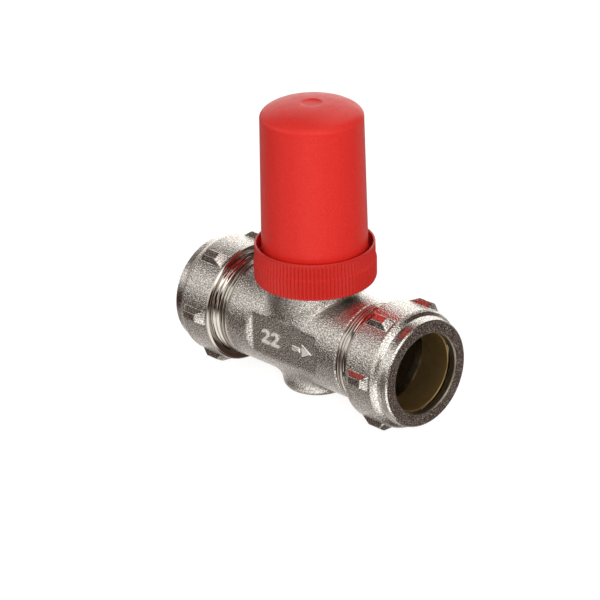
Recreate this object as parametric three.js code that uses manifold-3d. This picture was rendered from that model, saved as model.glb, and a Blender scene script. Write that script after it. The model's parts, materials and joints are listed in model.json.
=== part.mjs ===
// Lockshield valve for 22 mm copper pipe: a forged straight body with two compression nuts, a
// screwed bonnet with a rising square-ended spindle, and a tall plastic cap held by a knurled ring.
// Millimetres. +X is the flow direction along the pipe, +Z is up the spindle, and the origin is
// where the two axes cross. The valve is shown shut, with the cap on.

import * as THREE from 'three';
import { mergeVertices } from 'three/addons/utils/BufferGeometryUtils.js';
import Module from 'manifold-3d';

const wasm = await Module();
wasm.setup();

// ---------------------------------------------------------------- driving dimensions

const GAP = 0.3;                 // clearance between neighbouring pieces
const FINE = 32;                 // facets round a large piece
const COARSE = 20;               // facets round a small piece

const PIPE_R = 11.15;            // bore that takes the 22 mm pipe
const PASSAGE_R = 9.5;           // waterway inside the pipe stop
const PIPE_STOP_X = 19;

const BARREL_R = 13.75;          // forged barrel of the body
const SHOULDER_X = 20.9;         // where the barrel ends and the machined thread begins
const BODY_THREAD_R = 13.65;
const BODY_END_X = 31.0;
const MOUTH_R = 12.7;            // wide end of the cone that squeezes the olive
const MOUTH_DEPTH = 4.6;

const NECK_R = 12.5;
const NECK_TOP_Z = 14.6;
const NECK_BORE_R = 9.3;
const BOSS_R = 9.4;
const BOSS_BOTTOM_Z = -16.1;

const PLAQUE_HALF_LENGTH = 11.9;
const PLAQUE_Y = 12.56;          // flat panel on each side of the barrel
const PLAQUE_HALF_HEIGHT = 6.4;
const ARROW_PROUD = 0.35;

const SEAT_R = 5.4;
const SEAT_RIM_Z = 1.8;
const WEB_TOP_Z = 1.0;           // wall that parts the lower chamber from the upper one
const WEB_BOTTOM_Z = -1.5;

const NUT_LENGTH = 14.5;
const NUT_R = 16.45;
const NUT_THREAD_R = 14.0;
const NUT_NOSE_R = 14.8;
const LUG_R = 18.1;
const LUG_COUNT = 6;
const OUTLET_NUT_X = 26.6;       // rear end of the outlet nut
const INLET_NUT_X = 25.6;        // rear end of the inlet nut, one millimetre tighter
const OUTLET_NUT_TURN = THREE.MathUtils.degToRad(-3.2);

const OLIVE_LENGTH = 9.4;
const OLIVE_IN_NUT = 2.3;        // from the nut's rear end to the olive's rear end
const OLIVE_R = 12.3;
const OLIVE_WALL = 0.3;          // thickness of its sharp ends

const DISC_R = 15.15;            // threaded disc of the bonnet that the cap ring screws on
const DISC_BOTTOM_Z = 15.9;
const DISC_TOP_Z = 18.5;
const BONNET_PLUG_R = NECK_BORE_R - GAP;
const BONNET_BOTTOM_Z = 7.6;
const BONNET_HEX_AF = 20;
const BONNET_HEX_TOP_Z = 24.5;
const BONNET_BOSS_R = 7.0;
const BONNET_TOP_Z = 31.5;
const SPINDLE_BORE_R = 4.9;
const SPINDLE_THREAD_BORE_R = 5.7;
const SPINDLE_THREAD_TOP_Z = 22.0;

const SPINDLE_R = 4.2;
const SPINDLE_THREAD_R = SPINDLE_THREAD_BORE_R - GAP;
const SQUARE_AF = 6;
const SQUARE_BOTTOM_Z = 40;
const SPINDLE_TOP_Z = 49.5;
const STUB_R = 3.2;

const CARRIER_R = 7.0;
const GLAND_HEX_AF = 17;

const CAP_BOTTOM_Z = 18.9;
const CAP_CREASE_Z = 61.9;       // where the wall meets the dome
const CAP_TOP_Z = 66.1;
const CAP_FLANGE_R = 15.1;
const CAP_FOOT_R = 14.38;
const CAP_CREASE_R = 13.9;
const CAP_BORE_R = 12.3;
const CAP_BORE_TOP_Z = 60.5;
const DIMPLE_R = 2.7;
const DIMPLE_DEPTH = 0.5;

const RING_BOTTOM_Z = 15.66;
const RING_TOP_Z = 26.05;
const RING_LOWER_R = 16.55;
const RING_UPPER_R = 16.25;
const RING_BORE_R = 15.5;
const RING_SHOULDER_Z = 20.65;
const RING_SHOULDER_TOP_Z = 22.2;
const RING_SHOULDER_R = 14.7;

// ---------------------------------------------------------------- solids

/** Turns a closed three.js geometry into a solid that can be cut and joined. */
function solid(geometry) {
  const bare = geometry.clone();
  bare.deleteAttribute('normal');
  bare.deleteAttribute('uv');
  const merged = mergeVertices(bare, 1e-4);
  const corners = merged.index.array;
  const kept = [];
  for (let i = 0; i < corners.length; i += 3) {
    const [a, b, c] = [corners[i], corners[i + 1], corners[i + 2]];
    if (a !== b && b !== c && c !== a) kept.push(a, b, c);
  }
  const vertProperties = new Float32Array(merged.attributes.position.array);
  const triVerts = new Uint32Array(kept);
  return new wasm.Manifold(new wasm.Mesh({ numProp: 3, vertProperties, triVerts }));
}

/** Turns a solid back into a three.js geometry. */
function toGeometry(body) {
  const mesh = body.getMesh();
  const geometry = new THREE.BufferGeometry();
  geometry.setAttribute('position', new THREE.BufferAttribute(mesh.vertProperties, 3));
  geometry.setIndex(new THREE.BufferAttribute(mesh.triVerts, 1));
  geometry.computeVertexNormals();
  return geometry;
}

/** Revolves [radius, height] points, listed anticlockwise, about +Z. */
function turned(points, facets = FINE) {
  const outline = points.map(([radius, height]) => new THREE.Vector2(radius, height));
  return solid(new THREE.LatheGeometry(outline, facets).rotateX(Math.PI / 2));
}

/** The same about +X, for pieces that lie along the pipe. */
function turnedAlongX(points, facets = FINE) {
  const outline = points.map(([radius, height]) => new THREE.Vector2(radius, height));
  return solid(new THREE.LatheGeometry(outline, facets).rotateZ(-Math.PI / 2));
}

/** A solid cylinder about Z between two heights. */
function cylinder(radius, bottom, top, facets = FINE) {
  return turned([[0, bottom], [radius, bottom], [radius, top], [0, top]], facets);
}

/** A washer-shaped ring about Z. */
function ring(inner, outer, bottom, top, facets = COARSE) {
  return turned([[inner, bottom], [outer, bottom], [outer, top], [inner, top], [inner, bottom]], facets);
}

/** A solid cylinder about X between two stations. */
function pipeAlongX(radius, from, to, facets = FINE) {
  return turnedAlongX([[0, from], [radius, from], [radius, to], [0, to]], facets);
}

/** A box from its lowest to its highest corner. */
function block(low, high) {
  const size = low.map((value, axis) => high[axis] - value);
  const middle = low.map((value, axis) => (high[axis] + value) / 2);
  return solid(new THREE.BoxGeometry(...size).translate(...middle));
}

/** An upright regular prism with the given distance across its flats. */
function prism(sides, acrossFlats, bottom, top) {
  const corner = acrossFlats / 2 / Math.cos(Math.PI / sides);
  const shape = new THREE.CylinderGeometry(corner, corner, top - bottom, sides);
  const half = Math.PI / sides;
  return solid(shape.rotateX(Math.PI / 2).rotateZ(half).translate(0, 0, (bottom + top) / 2));
}

/** Points along a quarter ellipse, from its foot to its apex on the axis. */
function quarterEllipse(radius, foot, rise, steps) {
  return Array.from({ length: steps + 1 }, (_, i) => {
    const angle = (i / steps) * Math.PI / 2;
    return [radius * Math.cos(angle), foot + rise * Math.sin(angle)];
  });
}

const valve = new THREE.Group();

/** Adds one named piece with its own material. */
function add(parent, name, body, colour, roughness, metalness) {
  const material = new THREE.MeshStandardMaterial({ color: colour, roughness, metalness });
  const mesh = new THREE.Mesh(toGeometry(body), material);
  mesh.name = name;
  parent.add(mesh);
  return mesh;
}

// ---------------------------------------------------------------- body

/** The forging before it is bored: barrel, threaded ends, neck, belly and bottom boss. */
function forging() {
  const half = [
    [BARREL_R, SHOULDER_X - 0.8], [BARREL_R - 0.5, SHOULDER_X], [BARREL_R - 0.5, SHOULDER_X + 0.3],
    [BODY_THREAD_R, SHOULDER_X + 0.6], [BODY_THREAD_R, BODY_END_X - 0.4], [BODY_THREAD_R - 0.4, BODY_END_X],
  ];
  const otherHalf = half.map(([radius, x]) => [radius, -x]).reverse();
  const barrel = turnedAlongX([[0, -BODY_END_X], ...otherHalf, ...half, [0, BODY_END_X]]);
  const neck = cylinder(NECK_R, 0, NECK_TOP_Z);
  // The flare blends the neck into the barrel, and the belly trims it to the barrel's sides.
  const flare = turned([
    [0, 6.4], [18.4, 6.4], [18.4, 13.2], [15.6, 13.45], [13.6, 14.1], [NECK_R, 14.5], [0, 14.5],
  ]);
  const belly = turnedAlongX([[0, -18.4], [13.9, -18.4], [14.6, -13], [14.6, 13], [13.9, 18.4], [0, 18.4]]);
  const boss = turned([
    [0, BOSS_BOTTOM_Z], [BOSS_R - 1, BOSS_BOTTOM_Z], [BOSS_R - 0.3, BOSS_BOTTOM_Z + 0.3],
    [BOSS_R, BOSS_BOTTOM_Z + 1], [BOSS_R, -5], [0, -5],
  ]);
  return barrel.add(neck).add(flare.intersect(belly)).add(boss);
}

/** A raised arrow along +X, standing on the plaque at the given side. */
function flowArrow(side) {
  const shape = new THREE.Shape();
  const outline = [[1.5, -0.7], [7, -0.7], [7, -2], [10.8, 0], [7, 2], [7, 0.7], [1.5, 0.7]];
  outline.forEach(([x, z], i) => (i ? shape.lineTo(x, z) : shape.moveTo(x, z)));
  const depth = ARROW_PROUD + 0.4;
  const arrow = new THREE.ExtrudeGeometry(shape, { depth, bevelEnabled: false });
  arrow.translate(0, 0, PLAQUE_Y - 0.4);
  return solid(arrow.rotateX(side * Math.PI / 2));
}

/** Waterways: pipe sockets, passages, the two chambers and the seat hole. */
function waterways() {
  const socket = turnedAlongX([
    [0, PIPE_STOP_X], [PIPE_R, PIPE_STOP_X], [PIPE_R, BODY_END_X - MOUTH_DEPTH],
    [MOUTH_R, BODY_END_X], [MOUTH_R, BODY_END_X + 1], [0, BODY_END_X + 1],
  ]);
  const inletPassage = pipeAlongX(PASSAGE_R, -PIPE_STOP_X - 1, -12);
  const outletPassage = pipeAlongX(PASSAGE_R, 10, PIPE_STOP_X + 1);
  const lowerChannel = pipeAlongX(PASSAGE_R, -13, 0)
    .intersect(block([-14, -12, -12], [1, 12, WEB_BOTTOM_Z]));
  const upperChannel = pipeAlongX(PASSAGE_R, 0, 11)
    .intersect(block([-1, -12, WEB_TOP_Z], [12, 12, 12]));
  const lowerChamber = cylinder(7.5, -12.5, WEB_BOTTOM_Z);
  const seatHole = cylinder(SEAT_R, WEB_BOTTOM_Z - 1, SEAT_RIM_Z + 1);
  const upperChamber = cylinder(NECK_BORE_R, WEB_TOP_Z, NECK_TOP_Z + 1);
  const seatRim = ring(SEAT_R, SEAT_R + 1.2, WEB_TOP_Z - 0.5, SEAT_RIM_Z);
  const chambers = upperChamber.add(upperChannel).subtract(seatRim);
  return socket.add(socket.rotate([0, 0, 180])).add(inletPassage).add(outletPassage)
    .add(lowerChannel).add(lowerChamber).add(chambers).add(seatHole);
}

function valveBody() {
  let body = forging();
  for (const side of [-1, 1]) {
    const far = 20 * side;
    const near = PLAQUE_Y * side;
    const low = [-PLAQUE_HALF_LENGTH, Math.min(far, near), -PLAQUE_HALF_HEIGHT];
    const high = [PLAQUE_HALF_LENGTH, Math.max(far, near), PLAQUE_HALF_HEIGHT];
    body = body.subtract(block(low, high)).add(flowArrow(-side));
  }
  return body.subtract(waterways());
}

add(valve, 'valve_body', valveBody(), 0xb9b4aa, 0.45, 1);

// ---------------------------------------------------------------- compression ends

/** One spanner lug, standing on the nut at angle zero (+Y), rear end at x = 0. */
function lug() {
  const side = new THREE.Shape();
  side.moveTo(0.9, 15.4);
  side.lineTo(9.6, 15.4);
  side.lineTo(9.5, 16.3);
  side.lineTo(8.8, LUG_R);
  side.lineTo(2.7, LUG_R);
  side.lineTo(0.9, 16.1);
  const along = new THREE.ExtrudeGeometry(side, { depth: 4, bevelEnabled: false }).translate(0, 0, -2);
  const section = new THREE.Shape();
  section.moveTo(-1.6, 15);
  section.lineTo(1.6, 15);
  section.lineTo(1.5, 17.4);
  section.lineTo(1.1, LUG_R);
  section.lineTo(-1.1, LUG_R);
  section.lineTo(-1.5, 17.4);
  const across = new THREE.ExtrudeGeometry(section, { depth: 10, bevelEnabled: false });
  return solid(along).intersect(solid(across.rotateY(Math.PI / 2)));
}

/** Compression nut along +X with its rear end at x = 0. */
function compressionNut() {
  let nut = turnedAlongX([
    [NUT_THREAD_R + 0.35, 0], [15.2, 0], [16.2, 0.8], [NUT_R, 1.3], [NUT_R, 9.9], [16.0, 10.5],
    [15.35, 11.0], [15.1, 11.7], [NUT_NOSE_R + 0.1, 12.7], [NUT_NOSE_R, 14.1],
    [NUT_NOSE_R - 0.35, NUT_LENGTH], [PIPE_R + 0.3, NUT_LENGTH], [PIPE_R, NUT_LENGTH - 0.3],
    [PIPE_R, 12.4], [12.9, 10.9], [14.2, 10.6], [14.2, 8.8], [NUT_THREAD_R, 8.6], [NUT_THREAD_R, 0.35],
    [NUT_THREAD_R + 0.35, 0],
  ]);
  const oneLug = lug();
  for (let i = 0; i < LUG_COUNT; i += 1) {
    nut = nut.add(oneLug.rotate([i * 360 / LUG_COUNT, 0, 0]));
  }
  return nut;
}

/** Olive (compression ring) along +X with its rear end at x = 0. */
function olive() {
  const inner = PIPE_R - 0.07;
  return turnedAlongX([
    [inner, 0], [inner + OLIVE_WALL, 0], [OLIVE_R, 2.8], [OLIVE_R, 8.3],
    [inner + OLIVE_WALL + 0.1, OLIVE_LENGTH], [inner, OLIVE_LENGTH], [inner, 0],
  ]);
}

/** Puts a nut and its olive on one end of the body, as a group that faces outwards. */
function addEnd(name, nutX, nutTurn, facing) {
  const end = new THREE.Group();
  end.rotation.z = facing;
  valve.add(end);
  const nut = add(end, `nut_${name}`, compressionNut(), 0xb9b4aa, 0.42, 1);
  nut.position.x = nutX;
  nut.rotation.x = nutTurn;
  const oliveMesh = add(end, `olive_${name}`, olive(), 0xb8904c, 0.35, 1);
  oliveMesh.position.x = nutX + OLIVE_IN_NUT;
}

addEnd('outlet', OUTLET_NUT_X, OUTLET_NUT_TURN, 0);
addEnd('inlet', INLET_NUT_X, 0, Math.PI);

// ---------------------------------------------------------------- bonnet and gland

function bonnet() {
  const outside = turned([
    [0, BONNET_BOTTOM_Z], [BONNET_PLUG_R - 0.4, BONNET_BOTTOM_Z], [BONNET_PLUG_R, BONNET_BOTTOM_Z + 0.4],
    [BONNET_PLUG_R, DISC_BOTTOM_Z], [DISC_R - 0.4, DISC_BOTTOM_Z], [DISC_R, DISC_BOTTOM_Z + 0.4],
    [DISC_R, DISC_TOP_Z - 0.4], [DISC_R - 0.4, DISC_TOP_Z], [0, DISC_TOP_Z],
  ]);
  const hex = prism(6, BONNET_HEX_AF, DISC_TOP_Z - 1, BONNET_HEX_TOP_Z);
  const boss = turned([
    [0, BONNET_HEX_TOP_Z - 1], [BONNET_BOSS_R, BONNET_HEX_TOP_Z - 1], [BONNET_BOSS_R, BONNET_TOP_Z - 0.4],
    [BONNET_BOSS_R - 0.4, BONNET_TOP_Z], [0, BONNET_TOP_Z],
  ], COARSE);
  const bore = turned([
    [0, BONNET_BOTTOM_Z - 1], [CARRIER_R + 0.4, BONNET_BOTTOM_Z - 1], [CARRIER_R + 0.4, 12.4],
    [SPINDLE_THREAD_BORE_R, 13.2], [SPINDLE_THREAD_BORE_R, SPINDLE_THREAD_TOP_Z],
    [SPINDLE_BORE_R, SPINDLE_THREAD_TOP_Z], [SPINDLE_BORE_R, BONNET_TOP_Z + 1], [0, BONNET_TOP_Z + 1],
  ], COARSE);
  return outside.add(hex).add(boss).subtract(bore);
}

/** Cap nut that squeezes the gland packing round the spindle. */
function glandNut() {
  const bottom = 26.5;
  const top = 36.5;
  const cavity = cylinder(BONNET_BOSS_R + 0.4, bottom - 1, 34.5, COARSE);
  const hole = cylinder(SPINDLE_R + 0.4, bottom, top + 1, COARSE);
  const chamferCone = turned([
    [0, bottom], [GLAND_HEX_AF / 2 + 0.9, bottom], [GLAND_HEX_AF / 2 + 1.4, bottom + 0.5],
    [GLAND_HEX_AF / 2 + 1.4, top - 0.9], [GLAND_HEX_AF / 2 - 0.1, top], [0, top],
  ], COARSE);
  return prism(6, GLAND_HEX_AF, bottom, top).intersect(chamferCone).subtract(cavity).subtract(hole);
}

add(valve, 'bonnet', bonnet(), 0xb8904c, 0.38, 1);
add(valve, 'bonnet_washer', ring(9.35, 12.2, 14.9, 15.6), 0x4a4c50, 0.8, 0);
add(valve, 'gland_ring', ring(4.6, 7.0, 31.8, 32.4), 0xb8904c, 0.4, 1);
add(valve, 'gland_packing', ring(4.5, 7.0, 32.7, 34.2), 0xe8e6dc, 0.7, 0);
add(valve, 'gland_nut', glandNut(), 0xb8904c, 0.38, 1);

// ---------------------------------------------------------------- spindle and plug

const ORING_HEIGHTS = { lower: 23.2, upper: 26.0 };
const ORING_R = 0.6;             // section radius of an O-ring
const ORING_CENTRE_R = 3.95;
const CLIP_Z = 9.0;              // middle of the groove that holds the plug on the spindle

/** A groove round the spindle, cut to the given radius. */
function groove(radius, middle, halfHeight) {
  return ring(radius, SPINDLE_THREAD_R + 1, middle - halfHeight, middle + halfHeight);
}

function spindle() {
  const shaft = turned([
    [0, 7.6], [STUB_R - 0.3, 7.6], [STUB_R, 7.9], [STUB_R, 10.5], [SPINDLE_THREAD_R - 0.4, 10.5],
    [SPINDLE_THREAD_R, 10.9], [SPINDLE_THREAD_R, 17.3], [SPINDLE_THREAD_R - 0.4, 17.7],
    [SPINDLE_R, 17.7], [SPINDLE_R, SQUARE_BOTTOM_Z], [0, SQUARE_BOTTOM_Z],
  ], COARSE);
  const roundedTop = turned([
    [0, SQUARE_BOTTOM_Z - 1], [SPINDLE_R, SQUARE_BOTTOM_Z - 1], [SPINDLE_R, SPINDLE_TOP_Z - 1],
    [SQUARE_AF / 2, SPINDLE_TOP_Z], [0, SPINDLE_TOP_Z],
  ], COARSE);
  const square = prism(4, SQUARE_AF, SQUARE_BOTTOM_Z - 1, SPINDLE_TOP_Z).intersect(roundedTop);
  return shaft.add(square)
    .subtract(groove(2.5, CLIP_Z, 0.6))
    .subtract(groove(3.05, ORING_HEIGHTS.lower, 0.9))
    .subtract(groove(3.05, ORING_HEIGHTS.upper, 0.9));
}

/** An O-ring about Z; its section is a regular polygon. */
function oRing(height) {
  const sides = 8;
  const section = Array.from({ length: sides + 1 }, (_, i) => {
    const angle = (i % sides) * 2 * Math.PI / sides;
    return [ORING_CENTRE_R + ORING_R * Math.cos(angle), height + ORING_R * Math.sin(angle)];
  });
  return turned(section, COARSE);
}

/** Brass carrier (jumper): a disc above the washer and a hub that the spindle's stub turns in. */
function plugCarrier() {
  const outside = turned([
    [0, 5.0], [CARRIER_R - 0.3, 5.0], [CARRIER_R, 5.3], [CARRIER_R, 6.7], [CARRIER_R - 0.3, 7.0],
    [5.3, 7.2], [5.3, 10.2], [0, 10.2],
  ], COARSE);
  const cup = cylinder(STUB_R + GAP, 7.3, 11, COARSE);
  const clipGroove = cylinder(4.3, CLIP_Z - 0.6, CLIP_Z + 0.6, COARSE);
  const screwHole = cylinder(2.0, 4, 6.7, COARSE);
  return outside.subtract(cup).subtract(clipGroove).subtract(screwHole);
}

/** Split spring ring that lies half in the spindle's groove and half in the carrier's. */
function spindleClip() {
  const slot = block([-0.7, 0, CLIP_Z - 1], [0.7, 6, CLIP_Z + 1]);
  return ring(2.85, 3.95, CLIP_Z - 0.3, CLIP_Z + 0.3).subtract(slot);
}

function washerScrew() {
  const turnedPart = turned([
    [0, -0.7], [2.6, -0.7], [3.0, -0.3], [3.0, 0.9], [1.7, 0.9], [1.7, 6.2], [1.4, 6.4], [0, 6.4],
  ], COARSE);
  return turnedPart.subtract(block([-4, -0.4, -2], [4, 0.4, 0.1]));
}

add(valve, 'spindle', spindle(), 0xb8904c, 0.32, 1);
add(valve, 'spindle_oring_lower', oRing(ORING_HEIGHTS.lower), 0x17181a, 0.6, 0);
add(valve, 'spindle_oring_upper', oRing(ORING_HEIGHTS.upper), 0x17181a, 0.6, 0);
add(valve, 'spindle_clip', spindleClip(), 0xaeb2b6, 0.3, 1);
add(valve, 'plug_carrier', plugCarrier(), 0xb8904c, 0.38, 1);
add(valve, 'seat_washer', ring(2.3, CARRIER_R, 2.1, 4.7), 0x1b1c1e, 0.75, 0);
add(valve, 'washer_plate', ring(2.0, 4.2, 1.2, 1.8), 0xaeb2b6, 0.3, 1);
add(valve, 'washer_screw', washerScrew(), 0xaeb2b6, 0.3, 1);

// ---------------------------------------------------------------- cap

/** Tall domed cover; its foot flange is trapped under the knurled ring's shoulder. */
function capBarrel() {
  const dome = quarterEllipse(CAP_CREASE_R, CAP_CREASE_Z, CAP_TOP_Z - CAP_CREASE_Z, 10)
    .filter(([radius]) => radius > DIMPLE_R + 0.6);
  const rimZ = CAP_TOP_Z - 0.12;
  return turned([
    [CAP_BORE_R, CAP_BOTTOM_Z], [CAP_FLANGE_R, CAP_BOTTOM_Z], [CAP_FLANGE_R, CAP_BOTTOM_Z + 1.4],
    [CAP_FOOT_R, CAP_BOTTOM_Z + 1.4], ...dome, [DIMPLE_R, rimZ],
    [DIMPLE_R * 0.6, CAP_TOP_Z - DIMPLE_DEPTH * 0.8], [0, CAP_TOP_Z - DIMPLE_DEPTH],
    [0, CAP_BORE_TOP_Z], [CAP_BORE_R - 1, CAP_BORE_TOP_Z], [CAP_BORE_R - 0.2, CAP_BORE_TOP_Z - 0.8],
    [CAP_BORE_R, CAP_BOTTOM_Z],
  ]);
}

/** Knurled ring: screws on the bonnet's disc and holds the cap down by its inner shoulder. */
function capCollar() {
  const lip = RING_UPPER_R - 0.65;
  return turned([
    [RING_BORE_R, RING_BOTTOM_Z], [RING_LOWER_R - 0.6, RING_BOTTOM_Z],
    [RING_LOWER_R - 0.1, RING_BOTTOM_Z + 0.5], [RING_LOWER_R, RING_BOTTOM_Z + 1.2],
    [RING_LOWER_R, 21.4], [RING_UPPER_R, 21.9], [RING_UPPER_R, RING_TOP_Z - 0.35],
    [RING_UPPER_R - 0.3, RING_TOP_Z], [lip, RING_TOP_Z], [lip, RING_SHOULDER_TOP_Z],
    [RING_SHOULDER_R, RING_SHOULDER_TOP_Z], [RING_SHOULDER_R, RING_SHOULDER_Z],
    [RING_BORE_R, RING_SHOULDER_Z], [RING_BORE_R, RING_BOTTOM_Z],
  ]);
}

add(valve, 'cap_barrel', capBarrel(), 0xd63227, 0.42, 0);
add(valve, 'cap_collar', capCollar(), 0xd63227, 0.45, 0);

export default valve;
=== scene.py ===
"""Looks for the lockshield valve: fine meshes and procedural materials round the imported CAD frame.

Lengths in the shape code are millimetres in the part's own frame: X along the pipe towards the
outlet, Y to the back, Z up the spindle. Meshes are written in metres.
"""

import json
import math

import bpy
import numpy as np
from mathutils import Matrix, Vector


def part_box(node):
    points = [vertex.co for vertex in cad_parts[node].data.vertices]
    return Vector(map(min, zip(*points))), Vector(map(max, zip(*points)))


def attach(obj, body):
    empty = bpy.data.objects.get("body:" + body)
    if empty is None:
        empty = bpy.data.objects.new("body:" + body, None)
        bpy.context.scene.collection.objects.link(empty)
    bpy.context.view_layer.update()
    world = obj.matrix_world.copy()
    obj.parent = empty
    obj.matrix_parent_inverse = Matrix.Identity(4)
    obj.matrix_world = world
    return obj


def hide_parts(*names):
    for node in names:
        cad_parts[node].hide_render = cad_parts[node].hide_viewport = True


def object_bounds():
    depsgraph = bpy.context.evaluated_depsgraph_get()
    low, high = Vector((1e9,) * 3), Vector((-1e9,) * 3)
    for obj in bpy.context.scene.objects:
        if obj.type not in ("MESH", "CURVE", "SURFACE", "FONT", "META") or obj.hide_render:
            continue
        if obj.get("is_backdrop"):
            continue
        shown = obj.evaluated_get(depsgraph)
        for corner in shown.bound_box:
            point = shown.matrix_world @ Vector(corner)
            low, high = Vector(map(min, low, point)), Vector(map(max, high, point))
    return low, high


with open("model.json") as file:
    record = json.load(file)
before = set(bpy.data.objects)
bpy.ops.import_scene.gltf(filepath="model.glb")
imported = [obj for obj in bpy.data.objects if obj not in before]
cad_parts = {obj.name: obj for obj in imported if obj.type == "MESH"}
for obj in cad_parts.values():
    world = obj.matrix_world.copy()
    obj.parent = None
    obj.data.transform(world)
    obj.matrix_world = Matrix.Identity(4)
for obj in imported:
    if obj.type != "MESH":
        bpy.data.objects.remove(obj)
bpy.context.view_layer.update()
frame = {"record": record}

MM = 0.001
TAU = 2 * math.pi


def extent(node):
    """A CAD node's lowest and highest corner in millimetres."""
    low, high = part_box(node)
    return np.array(low) / MM, np.array(high) / MM


# ------------------------------------------------------------------ camera, light, floor

def make_camera():
    """The photograph's long-lens view, from the outlet side, a little above and tilted a touch."""
    azimuth, elevation, tilt = (math.radians(angle) for angle in (-43.5, 24.7, -1.5))
    aim = Matrix.Translation((0, -0.006, 0.0106))
    distance = Matrix.Translation((0, 0, 1.284))
    data = bpy.data.cameras.new("camera")
    data.lens = 288
    data.clip_end = 20
    camera = bpy.data.objects.new("camera", data)
    heading = Matrix.Rotation(azimuth + math.pi / 2, 4, "Z")
    pitch = Matrix.Rotation(math.pi / 2 - elevation, 4, "X")
    roll = Matrix.Rotation(tilt, 4, "Z")
    camera.matrix_world = aim @ heading @ pitch @ roll @ distance
    bpy.context.collection.objects.link(camera)
    bpy.context.scene.camera = camera


def area_light(name, place, aim, size, power):
    """A square softbox that lights matt surfaces but isn't mirrored in the metal."""
    data = bpy.data.lights.new(name, "AREA")
    data.size = size
    data.energy = power
    light = bpy.data.objects.new(name, data)
    light.visible_glossy = False
    light.location = place
    light.rotation_euler = (Vector(aim) - Vector(place)).to_track_quat("-Z", "Y").to_euler()
    bpy.context.collection.objects.link(light)


def make_lights():
    centre = (0, 0, 0.025)
    area_light("key", (0.84, -0.60, 0.36), centre, 0.36, 6.3)
    area_light("above", (0.1, -0.1, 0.95), centre, 0.5, 0.2)


# The studio that the metal mirrors. Brightness by elevation in degrees, and then soft round cards:
# (azimuth, elevation, inner and outer angular radius, brightness).
STUDIO = [(-90, 0.50), (-45, 0.72), (-32, 0.75), (-21, 0.24), (-6, 0.22), (4, 0.66), (20, 1.12), (40, 1.05),
          (60, 0.75), (90, 0.65)]
CARDS = [
    (-35, 48, 10, 28, 1.75),
    (-26, 30, 5, 12, 2.2),
    (-50, -42, 16, 36, 1.4),
    (-30, 1, 10, 19, 0.0),
    (170, 64, 20, 36, 0.06),
    (-172, 28, 8, 22, 0.25),
    (-149, -25, 15, 25, 0.0),
    (-162, -42, 8, 24, 0.30),
    (128, 6, 13, 33, 1.55),
    (105, 50, 8, 20, 1.5),
    (50, 38, 22, 36, 0.06),
    (80, 20, 12, 24, 0.08),
    (43, -26, 20, 36, 0.04),
    (80, -76, 12, 28, 0.10),
    (-131, 0, 7, 15, 0.05),
    (-152, 42, 6, 14, 0.08),
]
# What lights matt surfaces, by elevation.
AMBIENT = [(-90, 0.38), (0, 0.48), (90, 0.62)]


def warm(value):
    """A grey that turns brown as it gets darker."""
    return (1.01 * value + 0.04, value + 0.012, 0.96 * value + 0.003, 1)


def direction(azimuth, elevation):
    azimuth, elevation = math.radians(azimuth), math.radians(elevation)
    level = math.cos(elevation)
    return (level * math.cos(azimuth), level * math.sin(azimuth), math.sin(elevation))


def make_world():
    """Lights the scene with the studio. The camera itself sees plain white."""
    world = bpy.data.worlds.new("studio")
    world.use_nodes = True
    world.cycles.sampling_method = "NONE"
    tree = world.node_tree
    tree.nodes.clear()

    def node(kind, **values):
        made = tree.nodes.new(kind)
        for key, value in values.items():
            setattr(made, key, value)
        return made

    def by_elevation(steps):
        ramp = node("ShaderNodeValToRGB")
        elements = ramp.color_ramp.elements
        while len(elements) < len(steps):
            elements.new(0.5)
        for element, (elevation, value) in zip(elements, steps):
            element.position = 0.5 + 0.5 * math.sin(math.radians(elevation))
            element.color = warm(value)
        tree.links.new(remap.outputs[0], ramp.inputs[0])
        return ramp.outputs[0]

    def background(colour):
        made = node("ShaderNodeBackground")
        tree.links.new(colour, made.inputs["Color"])
        return made.outputs[0]

    def choose(test, first, second):
        mix = node("ShaderNodeMixShader")
        tree.links.new(rays.outputs[test], mix.inputs[0])
        tree.links.new(first, mix.inputs[1])
        tree.links.new(second, mix.inputs[2])
        return mix.outputs[0]

    rays = node("ShaderNodeLightPath")
    coords = node("ShaderNodeTexCoord").outputs["Generated"]
    split = node("ShaderNodeSeparateXYZ")
    tree.links.new(coords, split.inputs[0])
    remap = node("ShaderNodeMapRange")
    remap.inputs["From Min"].default_value = -1
    tree.links.new(split.outputs["Z"], remap.inputs["Value"])
    light = by_elevation(STUDIO)
    for azimuth, elevation, inner, outer, value in CARDS:
        towards = node("ShaderNodeVectorMath", operation="DOT_PRODUCT")
        towards.inputs[1].default_value = direction(azimuth, elevation)
        tree.links.new(coords, towards.inputs[0])
        edge = node("ShaderNodeMapRange", interpolation_type="SMOOTHSTEP")
        edge.inputs["From Min"].default_value = math.cos(math.radians(outer))
        edge.inputs["From Max"].default_value = math.cos(math.radians(inner))
        tree.links.new(towards.outputs["Value"], edge.inputs["Value"])
        card = node("ShaderNodeMix", data_type="RGBA")
        card.inputs["B"].default_value = warm(value)
        tree.links.new(edge.outputs[0], card.inputs["Factor"])
        tree.links.new(light, card.inputs["A"])
        light = card.outputs["Result"]
    white = node("ShaderNodeBackground")
    white.inputs["Color"].default_value = (1, 1, 1, 1)
    seen = choose("Is Diffuse Ray", background(light), background(by_elevation(AMBIENT)))
    seen = choose("Is Camera Ray", seen, white.outputs[0])
    tree.links.new(seen, node("ShaderNodeOutputWorld").inputs["Surface"])
    bpy.context.scene.world = world


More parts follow.
